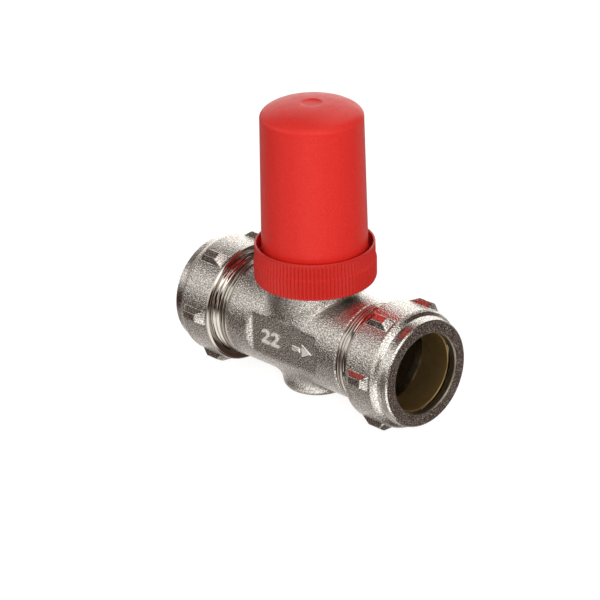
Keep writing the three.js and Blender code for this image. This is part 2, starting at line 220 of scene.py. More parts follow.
def make_floor(height):
    mesh = bpy.data.meshes.new("floor")
    half = 3.0
    corners = [(-half, -half, height), (half, -half, height), (half, half, height), (-half, half, height)]
    mesh.from_pydata(corners, [], [(0, 1, 2, 3)])
    floor = bpy.data.objects.new("floor", mesh)
    floor.visible_glossy = False
    floor.visible_diffuse = False
    bpy.context.collection.objects.link(floor)
    material = bpy.data.materials.new("floor_white")
    material.use_nodes = True
    shader = material.node_tree.nodes["Principled BSDF"]
    shader.inputs["Base Color"].default_value = (0.3, 0.3, 0.3, 1)
    shader.inputs["Roughness"].default_value = 0.9
    shader.inputs["Emission Color"].default_value = (1, 1, 1, 1)
    shader.inputs["Emission Strength"].default_value = 0.85
    mesh.materials.append(material)
    floor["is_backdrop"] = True


# ------------------------------------------------------------------ outlines

def rounded(corners, closed=True, steps=5):
    """Points along an outline of (radius, height[, fillet]) corners, with arcs at the fillets."""
    points = []
    count = len(corners)
    for i, corner in enumerate(corners):
        here = np.array(corner[:2], float)
        fillet = corner[2] if len(corner) > 2 else 0
        if fillet <= 0 or (not closed and i in (0, count - 1)):
            points.append(here)
            continue
        before = np.array(corners[i - 1][:2], float) - here
        after = np.array(corners[(i + 1) % count][:2], float) - here
        reach_in, reach_out = np.linalg.norm(before), np.linalg.norm(after)
        before, after = before / reach_in, after / reach_out
        half_angle = math.acos(np.clip(before @ after, -1, 1)) / 2
        if half_angle > math.pi / 2 - 0.02:
            points.append(here)
            continue
        run = min(fillet / math.tan(half_angle), reach_in * 0.49, reach_out * 0.49)
        radius = run * math.tan(half_angle)
        bisector = (before + after) / np.linalg.norm(before + after)
        centre = here + bisector * radius / math.sin(half_angle)
        start, end = here + before * run - centre, here + after * run - centre
        sweep = math.pi - 2 * half_angle
        for k in range(steps + 1):
            t = k / steps
            blend = (math.sin((1 - t) * sweep) * start + math.sin(t * sweep) * end) / math.sin(sweep)
            points.append(centre + blend)
    return [tuple(p) for p in points]


def refined(points, step, low, high, closed=True):
    """The same outline with extra points on its runs between two heights, at most step apart."""
    result = []
    pairs = zip(points, points[1:] + points[:1]) if closed else zip(points, points[1:])
    for a, b in pairs:
        within = min(a[1], b[1]) > low - 1e-6 and max(a[1], b[1]) < high + 1e-6
        pieces = max(1, math.ceil(math.dist(a, b) / step)) if within else 1
        for k in range(pieces):
            share = k / pieces
            result.append((a[0] + (b[0] - a[0]) * share, a[1] + (b[1] - a[1]) * share))
    return result if closed else result + [points[-1]]


def spaced(count):
    return np.arange(count) * TAU / count


# ------------------------------------------------------------------ meshes

SHARP_EDGE = math.radians(35)


def make_object(name, vertices, faces):
    """An object from millimetre vertices, smooth shaded except at its sharp edges."""
    mesh = bpy.data.meshes.new(name)
    mesh.from_pydata((np.asarray(vertices) * MM).tolist(), [], [tuple(f) for f in faces])
    mesh.validate()
    obj = bpy.data.objects.new(name, mesh)
    bpy.context.collection.objects.link(obj)
    finish_shading(obj)
    return obj


def finish_shading(obj):
    obj.data.polygons.foreach_set("use_smooth", np.ones(len(obj.data.polygons), bool))
    obj.data.set_sharp_from_angle(angle=SHARP_EDGE)
    obj.data.update()


def revolve(name, points, angles=192, warp=None, axis="Z"):
    """Revolves an anticlockwise (radius, height) outline. Points on the axis become poles.

    warp(radius, height, angle) may change the radius of each vertex."""
    thetas = spaced(angles) if isinstance(angles, int) else np.asarray(angles)
    outline = np.array(points, float)
    on_axis = outline[:, 0] < 1e-6
    open_ends = on_axis[0] and on_axis[-1]
    ring_rows = outline[~on_axis]
    radius = np.repeat(ring_rows[:, :1], len(thetas), 1)
    height = np.repeat(ring_rows[:, 1:], len(thetas), 1)
    angle = np.repeat(thetas[None, :], len(ring_rows), 0)
    if warp is not None:
        radius = warp(radius, height, angle)
    across, along = radius * np.cos(angle), radius * np.sin(angle)
    columns = (height, across, along) if axis == "X" else (across, along, height)
    vertices = np.stack(columns, -1).reshape(-1, 3)
    rows, width = radius.shape
    j = np.arange(width)
    k = (j + 1) % width
    quads = []
    last = rows - 1 if open_ends else rows
    for i in range(last):
        a, b = i * width, ((i + 1) % rows) * width
        quads.append(np.stack([a + j, a + k, b + k, b + j], -1))
    faces = np.concatenate(quads).tolist()
    if open_ends:
        ends = [(0, outline[0, 1]), (rows - 1, outline[-1, 1])]
        for order, (row, place) in enumerate(ends):
            pole = len(vertices)
            tip = (place, 0, 0) if axis == "X" else (0, 0, place)
            vertices = np.vstack([vertices, tip])
            base = row * width
            fan = [(pole, base + q, base + p) if order == 0 else (pole, base + p, base + q)
                   for p, q in zip(j, k)]
            faces += [tuple(int(v) for v in f) for f in fan]
    return make_object(name, vertices, faces)


def combine(base, tool, operation):
    """Joins or cuts base with tool, and removes tool."""
    modifier = base.modifiers.new("combine", "BOOLEAN")
    modifier.operation = operation
    modifier.solver = "MANIFOLD"
    modifier.object = tool
    bpy.context.view_layer.update()
    depsgraph = bpy.context.evaluated_depsgraph_get()
    result = bpy.data.meshes.new_from_object(base.evaluated_get(depsgraph))
    base.modifiers.clear()
    old = base.data
    base.data = result
    bpy.data.meshes.remove(old)
    bpy.data.objects.remove(tool)
    finish_shading(base)


def inset(outline, amount):
    """An anticlockwise outline moved inwards by the amount."""
    points = np.array(outline, float)
    ahead = np.roll(points, -1, 0) - points
    ahead /= np.linalg.norm(ahead, axis=1, keepdims=True)
    inward = np.stack([-ahead[:, 1], ahead[:, 0]], -1)
    before = np.roll(inward, 1, 0)
    share = 1 + (inward * before).sum(1, keepdims=True)
    return points + (inward + before) / share * amount


def prism(name, outline, levels, axis="Z"):
    """A solid with an anticlockwise outline across the axis. Levels are (place along the axis, inset)."""
    column_order = {"X": [2, 0, 1], "Y": [1, 2, 0], "Z": [0, 1, 2]}[axis]
    layers = []
    for place, amount in levels:
        flat = inset(outline, amount) if amount else np.array(outline, float)
        along = np.full((len(flat), 1), place)
        layers.append(np.hstack([flat, along])[:, column_order])
    count = len(outline)
    faces = [tuple(range(count - 1, -1, -1))]
    for layer in range(len(levels) - 1):
        a, b = layer * count, (layer + 1) * count
        faces += [(a + i, a + (i + 1) % count, b + (i + 1) % count, b + i) for i in range(count)]
    faces.append(tuple(range((len(levels) - 1) * count, len(levels) * count)))
    return make_object(name, np.vstack(layers), faces)


def box(name, low, high):
    corners = [(low[0], low[1]), (high[0], low[1]), (high[0], high[1]), (low[0], high[1])]
    return prism(name, corners, [(low[2], 0), (high[2], 0)])


# ------------------------------------------------------------------ forged shapes from distance fields

def smooth_union(a, b, blend):
    h = np.clip(0.5 + 0.5 * (b - a) / blend, 0, 1)
    return b + (a - b) * h - blend * h * (1 - h)


def smooth_cut(a, b, blend):
    """a where it is outside b."""
    return -smooth_union(-a, b, blend)


def smooth_both(a, b, blend):
    return -smooth_union(-a, -b, blend)


def surface_net(field, low, high, step):
    """A quad mesh of field = 0 (negative inside), with vertices moved onto the surface."""
    axes = [np.arange(lo, hi + step, step) for lo, hi in zip(low, high)]
    x, y, z = np.meshgrid(*axes, indexing="ij")
    value = field(x, y, z)
    inside = value < 0
    cells = tuple(n - 1 for n in value.shape)
    total = np.zeros(cells + (3,))
    hits = np.zeros(cells)
    corner = [(dx, dy, dz) for dx in (0, 1) for dy in (0, 1) for dz in (0, 1)]
    edges = [(a, b) for a in corner for b in corner if sorted(q - p for p, q in zip(a, b)) == [0, 0, 1]]

    def shifted(array, offset):
        return array[tuple(slice(o, o + n) for o, n in zip(offset, cells))]

    for a, b in edges:
        va, vb = shifted(value, a), shifted(value, b)
        crossing = (va < 0) != (vb < 0)
        t = np.where(crossing, va / np.where(crossing, va - vb, 1), 0)
        for dim in range(3):
            total[..., dim] += np.where(crossing, a[dim] + t * (b[dim] - a[dim]), 0)
        hits += crossing
    active = hits > 0
    index = -np.ones(cells, int)
    index[active] = np.arange(active.sum())
    where = np.argwhere(active)
    vertices = np.array(low) + (where + total[active] / hits[active][:, None]) * step
    faces = []
    for dim in range(3):
        u, v = [(1, 2), (2, 0), (0, 1)][dim]
        offset = [0, 0, 0]
        offset[dim] = 1
        count = list(value.shape)
        count[dim] -= 1
        first = inside[tuple(slice(0, n) for n in count)]
        second = inside[tuple(slice(o, o + n) for o, n in zip(offset, count))]
        spots = np.argwhere(first != second)
        keep = (spots[:, u] > 0) & (spots[:, v] > 0)
        keep &= (spots[:, u] < cells[u]) & (spots[:, v] < cells[v])
        spots = spots[keep]
        quad = []
        for du, dv in [(1, 1), (0, 1), (0, 0), (1, 0)]:
            spot = spots.copy()
            spot[:, u] -= du
            spot[:, v] -= dv
            quad.append(index[tuple(spot.T)])
        quad = np.stack(quad, -1)
        outward = first[tuple(spots.T)]
        quad[~outward] = quad[~outward][:, ::-1]
        faces.append(quad)
    faces = np.concatenate(faces)
    for _ in range(3):
        vertices = relaxed(vertices, faces)
        vertices = on_surface(field, vertices, step)
    return vertices, faces


def relaxed(vertices, faces):
    """Each vertex moved halfway to the mean of its neighbours."""
    total = np.zeros_like(vertices)
    count = np.zeros(len(vertices))
    for a, b in ((0, 1), (1, 2), (2, 3), (3, 0)):
        for p, q in ((a, b), (b, a)):
            np.add.at(total, faces[:, p], vertices[faces[:, q]])
            np.add.at(count, faces[:, p], 1)
    return vertices * 0.5 + 0.5 * total / count[:, None]


def on_surface(field, vertices, step):
    """Newton steps along the field's slope to field = 0."""
    delta = 0.01
    for _ in range(3):
        here = field(*vertices.T)
        slope = np.stack([
            field(*(vertices + np.eye(3)[dim] * delta).T) - field(*(vertices - np.eye(3)[dim] * delta).T)
            for dim in range(3)], -1) / (2 * delta)
        size = (slope ** 2).sum(-1)
        move = -(here / np.maximum(size, 1e-3))[:, None] * slope
        length = np.linalg.norm(move, axis=1, keepdims=True)
        vertices = vertices + move * np.minimum(1, 0.5 * step / np.maximum(length, 1e-9))
    return vertices


# ------------------------------------------------------------------ materials

class Nodes:
    """A small helper that builds one material's node tree round its Principled shader."""

    def __init__(self, name, colour, roughness, metallic):
        self.material = bpy.data.materials.new(name)
        self.material.use_nodes = True
        self.tree = self.material.node_tree
        self.shader = self.tree.nodes["Principled BSDF"]
        self.shader.inputs["Base Color"].default_value = (*colour, 1)
        self.shader.inputs["Roughness"].default_value = roughness
        self.shader.inputs["Metallic"].default_value = metallic
        self.coords = self.tree.nodes.new("ShaderNodeTexCoord").outputs["Object"]
        self.bump = None

    def node(self, kind, **values):
        node = self.tree.nodes.new(kind)
        for key, value in values.items():
            if key in node.inputs:
                node.inputs[key].default_value = value
            else:
                setattr(node, key, value)
        return node

    def link(self, output, target):
        self.tree.links.new(output, target)

    def scaled(self, stretch):
        """Object coordinates stretched along each axis."""
        mapping = self.node("ShaderNodeMapping")
        mapping.inputs["Scale"].default_value = stretch
        self.link(self.coords, mapping.inputs["Vector"])
        return mapping.outputs[0]

    def noise(self, scale, detail=4, stretch=None):
        texture = self.node("ShaderNodeTexNoise", Scale=scale, Detail=detail)
        self.link(self.scaled(stretch) if stretch else self.coords, texture.inputs["Vector"])
        return texture.outputs["Fac"]

    def grain(self, scale):
        """Distance to the nearest of many scattered points: a pebbled surface."""
        texture = self.node("ShaderNodeTexVoronoi", Scale=scale)
        self.link(self.coords, texture.inputs["Vector"])
        return texture.outputs["Distance"]

    def mapped(self, value, low, high, source=(0, 1)):
        node = self.node("ShaderNodeMapRange")
        node.inputs["From Min"].default_value, node.inputs["From Max"].default_value = source
        node.inputs["To Min"].default_value, node.inputs["To Max"].default_value = low, high
        self.link(value, node.inputs["Value"])
        return node.outputs[0]

    def roughness(self, value, low, high, source=(0.3, 0.7)):
        self.link(self.mapped(value, low, high, source), self.shader.inputs["Roughness"])

    def colour(self, value, first, second, source=(0.3, 0.7)):
        ramp = self.node("ShaderNodeValToRGB")
        ramp.color_ramp.elements[0].position = source[0]
        ramp.color_ramp.elements[0].color = (*first, 1)
        ramp.color_ramp.elements[1].position = source[1]
        ramp.color_ramp.elements[1].color = (*second, 1)
        self.link(value, ramp.inputs[0])
        self.link(ramp.outputs[0], self.shader.inputs["Base Color"])

    def add_bump(self, value, distance_mm, strength=1.0):
        bump = self.node("ShaderNodeBump", Strength=strength, Distance=distance_mm * MM)
        self.link(value, bump.inputs["Height"])
        if self.bump is not None:
            self.link(self.bump, bump.inputs["Normal"])
        self.bump = bump.outputs[0]
        self.link(self.bump, self.shader.inputs["Normal"])


def forged_nickel(name="forged_nickel", coarseness=1.0):
    """Grit-blasted forging under satin nickel: coarse sparkling grain."""
    m = Nodes(name, (0.60, 0.575, 0.54), 0.2, 1)
    m.add_bump(m.grain(2900), 0.074 * coarseness, 1.0)
    m.add_bump(m.noise(2600, 2), 0.10 * coarseness, 1.0)
    m.colour(m.noise(2700, 1), (0.38, 0.36, 0.335), (0.875, 0.843, 0.815), (0.35, 0.65))
    m.roughness(m.noise(2200, 2), 0.09, 0.17)
    return m.material


def marks_highlight_nickel():
    """The raised marks, pale and less metallic: painted highlight on their rounded sides."""
    m = Nodes("marks_highlight_nickel", (0.92, 0.90, 0.86), 0.5, 0.5)
    m.add_bump(m.noise(2400, 2), 0.05, 0.8)
    m.roughness(m.noise(1800, 2), 0.42, 0.58)
    m.colour(m.noise(1500, 3), (0.86, 0.84, 0.80), (0.98, 0.96, 0.92))
    return m.material


def turned_nickel():
    """Machined surfaces under the nickel: fine tool lines and a clear reflection."""
    m = Nodes("turned_nickel", (0.56, 0.53, 0.49), 0.14, 1)
    m.add_bump(m.noise(200, 3, (40, 1, 1)), 0.002, 0.5)
    m.roughness(m.noise(700, 3), 0.06, 0.12)
    m.colour(m.noise(180, 3), (0.53, 0.50, 0.46), (0.59, 0.56, 0.52))
    return m.material


def bore_shade_nickel():
    """Nickel inside the sockets, bores and passages, darker and browner as painted shade down in the
    recesses.
    """
    m = Nodes("bore_shade_nickel", (0.28, 0.235, 0.175), 0.42, 1)
    m.add_bump(m.noise(1500, 2), 0.02, 0.6)
    m.roughness(m.noise(900, 3), 0.36, 0.48)
    m.colour(m.noise(700, 3), (0.26, 0.215, 0.16), (0.30, 0.255, 0.19))
    return m.material


def turned_brass(name="turned_brass", stretch=(1, 1, 40)):
    m = Nodes(name, (0.76, 0.57, 0.26), 0.32, 0.96)
    m.add_bump(m.noise(200, 3, stretch), 0.0015, 0.5)
    m.roughness(m.noise(600, 3), 0.29, 0.35)
    m.colour(m.noise(600, 4), (0.73, 0.55, 0.245), (0.79, 0.59, 0.275))
    return m.material


def red_plastic(name, depth):
    """Satin moulded plastic with a faint spark-eroded texture. A depth below 1 darkens the red as painted
    shade.
    """
    m = Nodes(name, (0.74 * depth, 0.024 * depth, 0.017 * depth), 0.38, 0)
    m.shader.inputs["Specular IOR Level"].default_value = 0.4
    m.add_bump(m.noise(1300, 3), 0.04, 0.6)
    m.add_bump(m.noise(120, 2), 0.05, 0.12)
    m.roughness(m.noise(400, 4), 0.34, 0.44)
    m.colour(m.noise(2300, 3), (0.67 * depth, 0.021 * depth, 0.015 * depth),
             (0.80 * depth, 0.027 * depth, 0.019 * depth))
    return m.material


def dull(name, first, second, roughness, grain_scale):
    """Rubber, fibre or PTFE: two close colours in a fine grain."""
    m = Nodes(name, first, roughness, 0)
    m.colour(m.noise(grain_scale / 4, 3), first, second)
    m.add_bump(m.noise(grain_scale, 3), 0.01, 0.3)
    m.roughness(m.noise(grain_scale / 2, 2), roughness - 0.07, roughness + 0.07)
    return m.material


def bright_steel():
    m = Nodes("bright_steel", (0.62, 0.63, 0.65), 0.22, 1)
    m.add_bump(m.noise(900, 3), 0.006, 0.3)
    m.roughness(m.noise(700, 3), 0.16, 0.3)
    return m.material


MATERIALS = {
    "forged": forged_nickel(),
    "rubbed": forged_nickel("rubbed_nickel", 0.5),
    # pale nickel for the raised marks: painted highlight
    "painted_marks_highlight": marks_highlight_nickel(),
    "nickel": turned_nickel(),
    # darker nickel for the recesses: painted shade
    "painted_bore_shade": bore_shade_nickel(),
    "brass": turned_brass(),
    "brass_along": turned_brass("turned_brass_along_pipe", (40, 1, 1)),
    "red": red_plastic("red_plastic", 1.0),
    # the same red darkened for the ribbed ring: painted shade
    "ring_red_shaded": red_plastic("red_ring_plastic_shaded", 0.79),
    "rubber": dull("black_rubber", (0.015, 0.015, 0.016), (0.03, 0.03, 0.03), 0.55, 1500),
    "fibre": dull("grey_fibre", (0.10, 0.105, 0.11), (0.2, 0.2, 0.21), 0.85, 900),
    "ptfe": dull("white_ptfe", (0.78, 0.77, 0.72), (0.86, 0.85, 0.81), 0.45, 700),
    "steel": bright_steel(),
}


def stand_in(piece, node, *materials, chooser=None):
    """Gives the piece its materials and lets it take the CAD node's place on its body.

    chooser(centres) says which of several materials each face has, from the face centres in mm."""
    piece.data.materials.clear()
    for material in materials:
        piece.data.materials.append(MATERIALS[material])
    if chooser is not None:
        centres = np.zeros(len(piece.data.polygons) * 3)
        piece.data.polygons.foreach_get("center", centres)
        choice = chooser(centres.reshape(-1, 3) / MM).astype(np.int32)
        piece.data.polygons.foreach_set("material_index", choice)
    bodies = frame["record"]["behaviour"]["bodies"]
    home = next(name for name, nodes in bodies.items() if node in nodes)
    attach(piece, home)
    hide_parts(node)


# ------------------------------------------------------------------ warps for turned pieces

def helical_thread(crest, start, end, pitch, depth, fade=0.8, inner=False):
    """A warp that cuts a rounded right-hand thread into one cylindrical wall of a revolve."""
    crest_share, flank_share = 0.3, 0.6

    def warp(radius, height, angle):
        on_wall = np.abs(radius - crest) < 1e-3
        phase = (height / pitch - angle / TAU) % 1
        tooth = np.clip((np.abs(2 * phase - 1) - crest_share) / flank_share, 0, 1)
        ends = np.clip(np.minimum(height - start, end - height) / fade, 0, 1)
        cut = depth * tooth * ends * on_wall
        return radius + cut if inner else radius - cut
    return warp


def flats(sides, across, low, high, corner=0.0):
    """A warp that trims the rows between two heights to a regular polygon."""
    step = TAU / sides
    inner_radius = across / 2
    corner_radius = inner_radius / math.cos(step / 2)
    margin = 0.3

    def warp(radius, height, angle):
        limit = inner_radius / np.cos((angle - corner) % step - step / 2)
        in_height = (height > low) & (height < high)
        in_radius = (radius > inner_radius - margin) & (radius < corner_radius + margin)
        return np.where(in_height & in_radius, np.minimum(radius, limit), radius)
    return warp


def in_turn(*warps):
    """One warp that applies several."""
    def warp(radius, height, angle):
        for each in warps:
            radius = each(radius, height, angle)
        return radius
    return warp


# ------------------------------------------------------------------ body

BARREL_R = 13.75
PIPE_BORE_R = 11.15
PASSAGE_R = 9.5
PIPE_STOP = 19.0
NECK_R = 12.5
NECK_TOP = 14.6
NECK_BORE_R = 9.3
BOSS_R = 9.4
PLAQUE_Y = 12.56
PLAQUE_HALF_LENGTH = 11.9
PLAQUE_HALF_HEIGHT = 6.4
MARK_HEIGHT = 0.36
FORGING_END = 20.9
RELIEF_R = 13.3
BAND_R = 13.9
BAND_GROOVE_R = 13.5
BODY_THREAD_CREST = 14.0
BODY_THREAD_START = 23.35
NUT_PITCH = 1.5
SEAT_R = 5.4
SEAT_RIM_TOP = 1.8
WEB_TOP = 1.0
WEB_BOTTOM = -1.5
LOWER_CHAMBER_R = 7.5
LOWER_CHAMBER_FLOOR = -12.5
NET_STEP = 0.35

body_low, body_high = extent("valve_body")


def body_field(x, y, z):
    """Distance field of the forging, in millimetres."""
    about_pipe = np.sqrt(y ** 2 + z ** 2)
    about_spindle = np.sqrt(x ** 2 + y ** 2)
    barrel = smooth_both(about_pipe - BARREL_R, np.abs(x) - FORGING_END, 0.5)
    neck = smooth_both(about_spindle - NECK_R, np.maximum(z - NECK_TOP, -z), 0.4)
    shape = smooth_union(barrel, neck, 2.0)
    boss = smooth_both(about_spindle - BOSS_R, np.maximum(body_low[2] - z, z), 2.4)
    shape = smooth_union(shape, boss, 2.4)
    deep = np.abs(y) - PLAQUE_Y
    end_slope = 1.3
    ends = (np.abs(x) - PLAQUE_HALF_LENGTH - end_slope * deep) / math.hypot(1, end_slope)
    panel = np.maximum(-deep, np.maximum(ends, np.abs(z) - PLAQUE_HALF_HEIGHT))
    return smooth_cut(shape, panel, 0.25)


def machined_end(end):
    """The turned end of the body along +X: relief groove, two plain bands, thread and chamfer."""
    start = 17
    chamfer = end - 0.5
    outline = [(0, start), (RELIEF_R, start), (RELIEF_R, 21.1, 0.1)]
    for band_start, band_end in ((21.35, 22.05), (22.4, 23.0)):
        outline += [(BAND_R, band_start, 0.15), (BAND_R, band_end, 0.15)]
        outline += [(BAND_GROOVE_R, band_end + 0.1), (BAND_GROOVE_R, band_end + 0.25)]
    outline += [(BODY_THREAD_CREST, BODY_THREAD_START), (BODY_THREAD_CREST, chamfer)]
    outline += [(BODY_THREAD_CREST - 0.6, end, 0.1), (0, end)]
    outline = refined(rounded(outline, closed=False), 0.1, BODY_THREAD_START, chamfer, closed=False)
    warp = helical_thread(BODY_THREAD_CREST, BODY_THREAD_START, end, NUT_PITCH, 0.55, 0.5)
    return revolve("machined_end", outline, 240, warp, "X")


def pipe_socket(end):
    """What is cut out for the pipe and the olive: socket, cone and rounded mouth."""
    return revolve("pipe_socket", rounded([
        (0, PIPE_STOP), (PIPE_BORE_R - 0.3, PIPE_STOP), (PIPE_BORE_R, PIPE_STOP + 0.3),
        (PIPE_BORE_R, end - 4.6, 0.4), (12.7, end), (13.1, end + 0.4), (0, end + 1),
    ], closed=False), 192, None, "X")


def round_bar(name, radius, low, high, axis):
    return revolve(name, [(0, low), (radius, low), (radius, high), (0, high)], 144, None, axis)


def segment(radius, chord, below):
    """Outline in (y, z) of the part of a disc below, or above, a level chord."""
    reach = math.asin(chord / radius)
    start, sweep = (math.pi - reach, math.pi + 2 * reach) if below else (reach, math.pi - 2 * reach)
    angles = start + sweep * np.arange(49) / 48
    return list(zip(radius * np.cos(angles), radius * np.sin(angles)))


ARROW_SHAFT = [(3.4, -0.75), (6.5, -0.75), (6.5, 0.75), (3.4, 0.75)]
ARROW_HEAD = [(7.1, -2.1), (11.0, 0), (7.1, 2.1)]
TWO_FOOT = [(0, 0), (2.8, 0), (2.8, 0.85), (1.15, 0.85)]
TWO_HEAD = [(2.6, 2.3), (2.8, 2.9), (2.6, 3.7), (1.9, 4.2), (0.9, 4.2), (0.2, 3.7), (0, 3.0)]
TWO_INSIDE = [(0.85, 3.0), (1.1, 3.4), (1.7, 3.4), (1.95, 3.0), (1.8, 2.5), (0, 0.85)]
TWO = TWO_FOOT + TWO_HEAD + TWO_INSIDE
TWO_HEIGHT = 4.2


def raised(outline, side, slope):
    """A mark standing on one plaque, from its anticlockwise outline in (x, z)."""
    points = rounded([(z, x, 0.12) for x, z in reversed(outline)])
    levels = [(PLAQUE_Y - 0.4, 0), (PLAQUE_Y + 0.05, 0), (PLAQUE_Y + MARK_HEIGHT, slope)]
    if side < 0:
        levels = [(-place, amount) for place, amount in reversed(levels)]
    return prism("mark", points, levels, "Y")


def plaque_marks(side):
    """A flow arrow along +X, and the pipe size to its left or right, upright for the reader."""
    marks = [raised(ARROW_SHAFT, side, 0.3), raised(ARROW_HEAD, side, 0.3)]
    for place in (-8.2, -4.6):
        digit = [(place + x, z - TWO_HEIGHT / 2) for x, z in TWO]
        if side > 0:
            digit = [(-10.0 - x, z) for x, z in reversed(digit)]
        marks.append(raised(digit, side, 0.1))
    return marks


def upper_chamber():
    """The space above the web: the seat's hole and raised rim, and the neck's bore."""
    rim_edge = SEAT_R + 1.0
    mouth_r = NECK_BORE_R + 0.5
    return revolve("upper_chamber", rounded([
        (0, WEB_BOTTOM - 1), (SEAT_R, WEB_BOTTOM - 1), (SEAT_R, SEAT_RIM_TOP - 0.1),
        (SEAT_R + 0.15, SEAT_RIM_TOP), (rim_edge, SEAT_RIM_TOP, 0.1), (rim_edge + 0.2, WEB_TOP, 0.1),
        (NECK_BORE_R, WEB_TOP), (NECK_BORE_R, NECK_TOP - 0.4), (mouth_r, NECK_TOP + 0.1),
        (mouth_r, NECK_TOP + 1), (0, NECK_TOP + 1),
    ], closed=False), 144)


def make_body():
    end = body_high[0]
    low = (-22.0, -15, body_low[2] - 1)
    high = (22.0, 15, NECK_TOP + 1)
    vertices, faces = surface_net(body_field, low, high, NET_STEP)
    body = make_object("valve_body_looks", vertices, faces.tolist())
    for side in (1, -1):
        for mark in plaque_marks(side):
            combine(body, mark, "UNION")
    for turn in (0, math.pi):
        for make, operation in ((machined_end, "UNION"), (pipe_socket, "DIFFERENCE")):
            tool = make(end)
            tool.data.transform(Matrix.Rotation(turn, 4, "Z"))
            combine(body, tool, operation)
    spaces = [
        round_bar("outlet_passage", PASSAGE_R, 10, PIPE_STOP + 1, "X"),
        round_bar("inlet_passage", PASSAGE_R, -PIPE_STOP - 1, -12, "X"),
        prism("lower_channel", segment(PASSAGE_R, WEB_BOTTOM, True), [(-13, 0), (0, 0)], "X"),
        prism("upper_channel", segment(PASSAGE_R, WEB_TOP, False), [(7, 0), (11, 0)], "X"),
        round_bar("lower_chamber", LOWER_CHAMBER_R, LOWER_CHAMBER_FLOOR, WEB_BOTTOM, "Z"),
        upper_chamber(),
    ]
    for space in spaces:
        combine(body, space, "DIFFERENCE")
    return body


def body_finish(centres):
    """Forged outside; machined ends and neck bore; darker sockets and passages as painted shade; pale marks
    as painted highlight.
    """
    x, y, z = centres.T
    about_pipe = np.hypot(y, z)
    about_spindle = np.hypot(x, y)
    neck_bore = (about_spindle < NECK_BORE_R + 0.6) & (z > WEB_BOTTOM - 1.1)
    in_lower_chamber = (z > LOWER_CHAMBER_FLOOR - 0.3) & (z < WEB_BOTTOM + 0.3)
    lower_chamber = (about_spindle < LOWER_CHAMBER_R + 0.1) & in_lower_chamber
    # Sockets, passages and the lower chamber take the darker nickel: painted shade in the recesses.
    painted_bore_shade = (about_pipe < PIPE_BORE_R + 0.05) | lower_chamber
    on_plaque = (np.abs(x) < PLAQUE_HALF_LENGTH - 0.7) & (np.abs(z) < TWO_HEIGHT / 2 + 0.2)
    # The raised marks take the pale nickel: painted highlight.
    marks = (np.abs(y) > PLAQUE_Y + 0.03) & on_plaque
    machined = np.abs(x) > FORGING_END + 0.02
    return np.select([neck_bore, painted_bore_shade, marks], [1, 2, 3], machined)


# ------------------------------------------------------------------ compression ends

NUT_LENGTH = 14.5
NUT_R = 16.45
NUT_NECK = 12.4
NUT_THREAD_R = 14.12
NUT_THREAD_START = 0.4
NUT_THREAD_END = 8.7
LUG_R = 18.1
LUG_COUNT = 6
LUG_TOP_HALF = 1.1
LUG_FOOT_HALF = 2.4
LUG_FOOT_R = 16.2
LUG_ROOT_R = 15.0
# Along the nut: below its skin, foot, crest, crest, foot, below its skin.
LUG_STATIONS = [0.1, 0.3, 3.6, 7.7, 9.4, 10.4]
LUG_HEIGHTS = [14, 15.9, LUG_R, LUG_R, LUG_FOOT_R, 14]
OUTLET_NUT_TURN = math.radians(-3.2)


def nut_angles():
    """Angles round the nut, closer together at the lugs' sides and edges."""
    near = [0, 1.5, 2.8, 3.3, 3.5, 3.7, 4.3, 5.2, 6.1, 6.8, 7.05, 7.3, 7.8, 9.0]
    away = list(np.linspace(11, 30, 10))
    half = near + away
    sector = [-a for a in reversed(near[1:] + away[:-1])] + half
    return np.radians([lug * 60 + a for lug in range(LUG_COUNT) for a in sector])


def lug_warp(radius, height, angle):
    """Raises the six spanner lugs out of the nut's outside."""
    top = np.interp(height, LUG_STATIONS, LUG_HEIGHTS)
    step = TAU / LUG_COUNT
    offset = (angle + step / 2) % step - step / 2
    across = np.abs(LUG_R * np.sin(offset))
    fall = (LUG_R - LUG_FOOT_R) / (LUG_FOOT_HALF - LUG_TOP_HALF)
    side = LUG_R - (across - LUG_TOP_HALF) * fall
    lug = smooth_union(top, side, 0.12)
    return np.where(radius > LUG_ROOT_R, smooth_both(radius, lug, 0.1), radius)


def nut_outline():
    """Rear chamfer, wall, shoulder, nose and end face; then bore, cone, relief and thread."""
    relief_r = 14.35
    outside = [
        (NUT_THREAD_R + 0.5, 0), (15.9, 0, 0.15), (16.35, 0.4, 0.2), (NUT_R, 0.8, 0.2), (NUT_R, 9.9, 0.4),
        (16.0, 10.65, 0.25), (15.15, 11.45, 0.3), (14.95, NUT_NECK, 0.4), (14.85, 14.1, 0.15),
        (14.45, NUT_LENGTH, 0.1),
    ]
    inside = [
        (PIPE_BORE_R + 0.3, NUT_LENGTH, 0.1), (PIPE_BORE_R, NUT_LENGTH - 0.3, 0.1),
        (PIPE_BORE_R, NUT_NECK, 0.1), (12.9, 10.9), (relief_r, 10.6, 0.1),
        (relief_r, NUT_THREAD_END + 0.2, 0.1), (NUT_THREAD_R, NUT_THREAD_END),
        (NUT_THREAD_R, NUT_THREAD_START),
    ]
    return rounded(outside + inside)


def make_nut(name):
    outline = refined(nut_outline(), 0.3, 0.2, 11.8)
    thread = helical_thread(NUT_THREAD_R, NUT_THREAD_START, NUT_THREAD_END, NUT_PITCH, 0.5, 0.5, inner=True)
    return revolve(name, outline, nut_angles(), in_turn(thread, lug_warp), "X")


def make_olive(name):
    inner = PIPE_BORE_R - 0.07
    outer, length = 12.3, 9.4
    return revolve(name, rounded([
        (inner, 0, 0.08), (inner + 0.3, 0, 0.08), (outer, 2.8, 0.8), (outer, 8.3, 0.6),
        (inner + 0.42, length, 0.1), (inner, length, 0.1),
    ]), 240, None, "X")


def placed(piece, at, turn, facing):
    """Moves a piece built along +X from x = 0 to its end of the body."""
    along = Matrix.Translation((at * MM, 0, 0))
    piece.data.transform(Matrix.Rotation(facing, 4, "Z") @ along @ Matrix.Rotation(turn, 4, "X"))
    return piece


